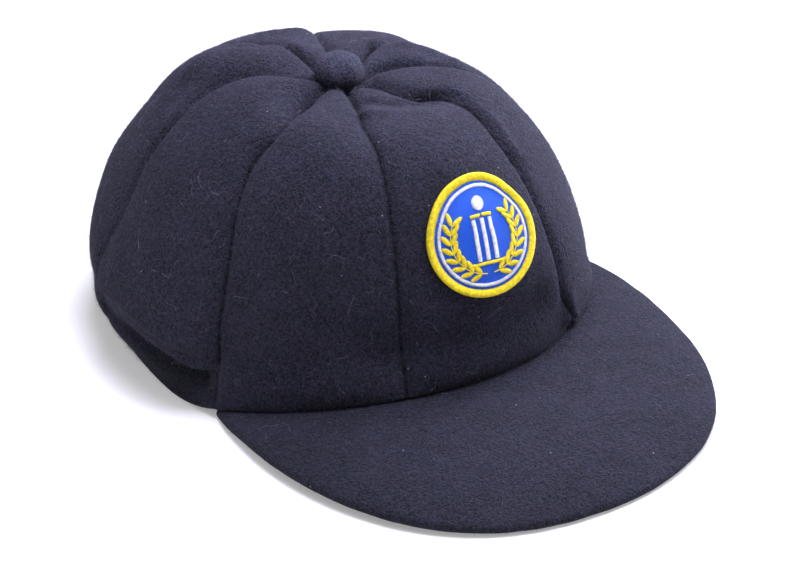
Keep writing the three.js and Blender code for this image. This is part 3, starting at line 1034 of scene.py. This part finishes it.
class PatchCloth:
    """The patch's ground as a surface that stitches are laid on."""

    def __init__(self, ground):
        points = points_of(ground.data)
        self.middle = points.mean(axis=0)
        _, _, axes = np.linalg.svd(points - self.middle, full_matrices=False)
        outward = axes[2] if axes[2] @ (self.middle - np.array(CROWN_HEART)) > 0 else -axes[2]
        self.right = np.cross((0, 0, 1), outward)
        self.right /= np.linalg.norm(self.right)
        self.outward = outward
        self.up = np.cross(outward, self.right)
        flat = self.flat_place(points)
        off = (flat.min(axis=0) + flat.max(axis=0)) / 2
        self.middle = self.middle + self.right * off[0] + self.up * off[1]
        flat = self.flat_place(points)
        turn, reach = np.arctan2(flat[:, 1], flat[:, 0]), np.linalg.norm(flat, axis=1)
        self.turns = np.linspace(-np.pi, np.pi, RIM_PLACES)
        near = [np.cos(turn - middle) > math.cos(self.turns[1] - self.turns[0]) for middle in self.turns]
        self.rim = [reach[at].max() for at in near]
        mesh = ground.data
        corners = [vert.co.copy() for vert in mesh.vertices]
        self.skin = BVHTree.FromPolygons(corners, [list(face.vertices) for face in mesh.polygons])

    def flat_place(self, points):
        """Right and up of points on the patch, in the mean plane of the bent cloth."""
        return np.stack([(points - self.middle) @ self.right, (points - self.middle) @ self.up], axis=1)

    def on_top(self, places, height):
        """The points over the patch's outer face, at places on the flat patch and heights in mm."""
        fit = np.interp(np.arctan2(places[:, 1], places[:, 0]), self.turns, self.rim) / PATCH_RADIUS
        found = []
        for (right, up), above in zip(places * fit[:, None], height):
            start = self.middle + self.right * right + self.up * up + self.outward * ABOVE * MM
            place, normal, _, _ = self.skin.ray_cast(Vector(start), -Vector(self.outward))
            if place is None:
                raise ValueError(f"a stitch at {right}, {up} misses the patch")
            found.append(np.array(place) + np.array(normal) * above * MM)
        return np.array(found)

    def satin(self, name, stitches, material):
        """Lays the stitches, each from its start to its end with an arch over the cloth."""
        share = np.linspace(0, 1, len(STITCH["shape"]))
        ends = np.array(stitches)
        flat = ends[:, :1] + (ends[:, 1:] - ends[:, :1]) * share[None, :, None]
        high = np.tile(STITCH["arch"] * (1 - (2 * share - 1) ** 2) - STITCH["sunk"], len(stitches))
        lines = self.on_top(flat.reshape(-1, 2), high).reshape(len(stitches), len(share), 3)
        self.lay(name, lines, STITCH, STITCH["shape"], material)

    def border(self, name, material):
        """The overlocked edge: slanting stitches that wrap over the patch's rim."""
        share = np.linspace(0, 1, len(BORDER_RISE))
        out = BORDER["inner"] + (BORDER["outer"] - BORDER["inner"]) * np.sin(share * np.pi / 2)
        lines = []
        for turn in 2 * np.pi * np.arange(BORDER["count"]) / BORDER["count"]:
            lean = turn + math.radians(BORDER["slant"]) * share
            ray = np.stack([np.cos(lean), np.sin(lean)], axis=1)
            top = self.on_top(ray * np.minimum(out, BORDER["edge"])[:, None], BORDER_RISE)
            over = ray * np.maximum(out - BORDER["edge"], 0)[:, None] * MM
            lines.append(top + over[:, :1] * self.right + over[:, 1:] * self.up)
        self.lay(name, np.array(lines), BORDER, BORDER_SHAPE, material)

    def lay(self, name, lines, thread, shape, material):
        """Makes the stitches along the lines, each of the thread's half width times its shape."""
        widths = np.array(shape) * thread["half"] * MM
        piece = threads(name, lines, np.broadcast_to(self.outward, lines.shape), widths, 6)
        piece.data.shade_smooth()
        dress(piece, material, "patch_thread")


class CAP_OT_patch(bpy.types.Operator):
    """Builds the round embroidered patch on the front panel"""

    bl_idname = "cap.patch"
    bl_label = "Build Patch"

    def execute(self, context):
        colours = context.scene.cap_patch
        bm = node_quads("patch")
        crease_rims(bm, amount=0.3)
        ground = subdivided("patch_ground", bm, 2)
        sculptor = Sculptor(context.scene.cap_wool)
        set_points(ground.data, sculptor.moved(points_of(ground.data)))
        cloth = PatchCloth(ground)
        flat = cloth.flat_place(points_of(ground.data))
        corner = np.empty(len(ground.data.loops), dtype=np.int32)
        ground.data.loops.foreach_get("vertex_index", corner)
        ground.data.uv_layers.new(name="patch").data.foreach_set("uv", flat[corner].ravel())
        dress(ground, twill_material("patch_twill", colours.blue), "patch_thread", "patch")
        white = thread_material("white_thread", colours.white)
        yellow = thread_material("yellow_thread", colours.yellow)
        half = STUMPS["wide"] / 2
        pale = ring_stitches()
        for aside in STUMPS["aside"]:
            pale += bar_across(aside - half, aside + half, STUMPS["foot"], STUMPS["top"])
        pale += satin_oval((0, BALL["up"]), 90, 2 * BALL["radius"], 2 * BALL["radius"])
        warm = laurel_stitches()
        for left, right in BAILS["spans"]:
            warm += bar_up(left, right, BAILS["foot"], BAILS["top"])
        warm += bar_up(-CREASE_LINE["half"], CREASE_LINE["half"], CREASE_LINE["foot"], CREASE_LINE["top"])
        cloth.satin("patch_white", pale, white)
        cloth.satin("patch_yellow", warm, yellow)
        cloth.border("patch_border", yellow)
        return {"FINISHED"}


# Stage

# The lamps of the studio: at is the place from the crown's heart and size the side, in metres, and power
# is in watts
LAMPS = {
    "right_lamp": {"at": (0.9, 0, 0.3), "size": 0.6, "power": 13.2},
    "near_right_lamp": {"at": (0.4, 0.15, 0.4), "size": 0.35, "power": 3.4},
    "top_lamp": {"at": (0.05, -0.04, 0.5), "size": 0.35, "power": 5.6},
    "left_lamp": {"at": (-0.35, 0.2, 0.4), "size": 0.35, "power": 0.5},
    "front_lamp": {"at": (0, -0.6, 0.7), "size": 0.6, "power": 1.2},
}
FLOOR_HALF = 4


class CAP_OT_stage(bpy.types.Operator):
    """Sets the camera, the floor and the studio light"""

    bl_idname = "cap.stage"
    bl_label = "Set Stage"

    def execute(self, context):
        stage = context.scene.cap_stage
        self.camera(context, stage)
        self.floor(stage)
        self.lights(context, stage)
        context.scene.view_settings.view_transform = "Standard"
        return {"FINISHED"}

    @staticmethod
    def camera(context, stage):
        """Looks along the photograph's direction; off holds how far the eye is moved aside and up."""
        turn, tilt = stage.azimuth, stage.elevation
        right = Vector((math.cos(turn), math.sin(turn), 0))
        back = Vector((math.sin(turn) * math.cos(tilt), -math.cos(turn) * math.cos(tilt), math.sin(tilt)))
        up = back.cross(right)
        eye = CROWN_AXIS + back * stage.distance + right * stage.off[0] + up * stage.off[1]
        data = bpy.data.cameras.new("camera")
        data.sensor_fit = "HORIZONTAL"
        data.sensor_width = SENSOR
        data.lens = stage.lens
        data.clip_start = 0.05
        camera = add_object("camera", data)
        turned = Matrix((right, up, back)).transposed().to_4x4()
        camera.matrix_world = Matrix.Translation(eye) @ turned
        context.scene.camera = camera

    @staticmethod
    def floor(stage):
        bm = bmesh.new()
        bmesh.ops.create_grid(bm, x_segments=1, y_segments=1, size=FLOOR_HALF)
        mesh = bpy.data.meshes.new("floor")
        bm.to_mesh(mesh)
        bm.free()
        floor = add_object("floor", mesh)
        material, _, shader = new_material("pale_floor", "floor")
        shader.inputs["Base Color"].default_value = (*stage.floor_colour, 1)
        shader.inputs["Emission Strength"].default_value = stage.floor_glow
        mesh.materials.append(material)

    @staticmethod
    def lights(context, stage):
        world = bpy.data.worlds.new("studio")
        world.use_nodes = True
        back = world.node_tree.nodes["Background"]
        back.inputs["Color"].default_value = (*stage.sky_colour, 1)
        back.inputs["Strength"].default_value = stage.sky
        context.scene.world = world
        for name, lamp in LAMPS.items():
            data = bpy.data.lights.new(name, "AREA")
            data.size = lamp["size"]
            data.energy = lamp["power"] * stage.light
            data.color = stage.lamp_colour
            piece = add_object(name, data)
            piece.location = CROWN_HEART + Vector(lamp["at"])
            piece.rotation_euler = (-Vector(lamp["at"])).to_track_quat("-Z", "Y").to_euler()


# Settings

def number(name, about, value, unit="NONE", **limits):
    return bpy.props.FloatProperty(
        name=name, description=about, default=value, unit=unit, precision=5, **limits
    )


def whole(name, about, value, **limits):
    return bpy.props.IntProperty(name=name, description=about, default=value, min=1, **limits)


def colour(name, about, value):
    return bpy.props.FloatVectorProperty(
        name=name, description=about, default=value, subtype="COLOR", size=3, min=0, max=1
    )


class CapWool(bpy.types.PropertyGroup):
    """Sizes and colours of the wool"""

    deep: colour("Deep Wool", "Colour between the wool's fibres", (0.0062, 0.0062, 0.007))
    pale: colour("Pale Wool", "Colour of the wool's upper fibres", (0.037, 0.037, 0.062))
    # Painted shade: the peak's pale is darker than the crown's, standing in for the light that the peak lacks
    peak_pale_shaded: colour("Pale Peak Shaded", "Colour of the peak's upper fibres", (0.032, 0.033, 0.054))
    # Painted light: the button's pale is lighter than the crown's, standing in for light falling on the
    # button
    button_pale_lit: colour("Pale Button Lit", "Colour of the button's upper fibres", (0.052, 0.052, 0.088))
    fuzz_colour: colour("Fuzz", "Colour of the short fuzz", (0.075, 0.075, 0.122))
    stray_colour: colour("Stray Fibres", "Colour of the long loose fibres", (0.2, 0.2, 0.26))
    sheen_colour: colour("Sheen", "Tint of the wool's sheen", (0.62, 0.6, 0.95))
    sheen: number("Sheen Weight", "Strength of the wool's sheen", 0.04, min=0, max=1)
    waves: number("Waves", "Depth of the cloth's broad unevenness", 0.5 * MM, "LENGTH")
    ripples: number("Ripples", "Depth of the cloth's small unevenness", 0.2 * MM, "LENGTH")
    fuzz_length: number("Fuzz Length", "Length of the short fuzz", 1.4 * MM, "LENGTH")
    fuzz_radius: number("Fuzz Radius", "Radius of a fuzz fibre at its root", 0.042 * MM, "LENGTH")
    stray_length: number("Stray Length", "Length of the long loose fibres", 5 * MM, "LENGTH")
    stray_radius: number("Stray Radius", "Radius of a long loose fibre", 0.048 * MM, "LENGTH")
    fuzz_count: whole("Fuzz Count", "Fuzz fibres on each panel", 9600)
    stray_count: whole("Stray Count", "Long loose fibres on the crown", 420)
    levels: whole("Levels", "Subdivision of the wool shells", 3, max=4)


class CapPatch(bpy.types.PropertyGroup):
    """Colours of the patch"""

    blue: colour("Blue", "Blue thread of the patch", (0.004, 0.11, 0.74))
    yellow: colour("Yellow", "Yellow thread of the patch", (0.92, 0.74, 0.02))
    white: colour("White", "White thread of the patch", (0.86, 0.86, 0.86))


class CapStage(bpy.types.PropertyGroup):
    """Camera, floor and light"""

    azimuth: number("Azimuth", "Camera's turn about the cap", math.radians(-36.2), "ROTATION")
    elevation: number("Elevation", "Camera's angle above the floor", math.radians(29.2), "ROTATION")
    distance: number("Distance", "Camera's distance from the crown's foot", 940 * MM, "LENGTH")
    lens: number("Lens", "Focal length in millimetres", 108.6)
    off: bpy.props.FloatVectorProperty(
        name="Off",
        description="Camera moved right and up",
        default=(19.3 * MM, 8.6 * MM),
        size=2,
        unit="LENGTH",
    )
    floor_colour: colour("Floor", "Colour of the floor", (0.72, 0.72, 0.73))
    floor_glow: number("Floor Glow", "Light of the floor's own, as of a light table", 0.3, min=0)
    lamp_colour: colour("Lamps", "Colour of the lamps' light", (0.83, 0.82, 1))
    sky_colour: colour("Sky", "Colour of the light all round", (1, 0.98, 0.76))
    sky: number("Sky Strength", "Strength of the light all round", 0.2, min=0)
    light: number("Light", "Strength of all lamps together", 1.04, min=0)


class CAP_PT_sidebar(bpy.types.Panel):
    """Lists the cap's settings and its building steps"""

    bl_label = "Cricket Cap"
    bl_space_type = "VIEW_3D"
    bl_region_type = "UI"
    bl_category = "Cricket Cap"

    def draw(self, context):
        for group in (context.scene.cap_wool, context.scene.cap_patch, context.scene.cap_stage):
            box = self.layout.box()
            for name in group.__annotations__:
                box.prop(group, name)
        for step in STEPS:
            self.layout.operator(step.bl_idname)


STEPS = (CAP_OT_stage, CAP_OT_crown, CAP_OT_peak, CAP_OT_button, CAP_OT_patch, CAP_OT_fuzz)
GROUPS = {"cap_wool": CapWool, "cap_patch": CapPatch, "cap_stage": CapStage}


def register():
    for kind in (*GROUPS.values(), *STEPS, CAP_PT_sidebar):
        bpy.utils.register_class(kind)
    for name, kind in GROUPS.items():
        setattr(bpy.types.Scene, name, bpy.props.PointerProperty(type=kind))


def unregister():
    for name in GROUPS:
        delattr(bpy.types.Scene, name)
    for kind in reversed((*GROUPS.values(), *STEPS, CAP_PT_sidebar)):
        bpy.utils.unregister_class(kind)


def main():
    register()
    for step in STEPS:
        group, action = step.bl_idname.split(".")
        getattr(getattr(bpy.ops, group), action)()


if __name__ == "__main__":
    main()
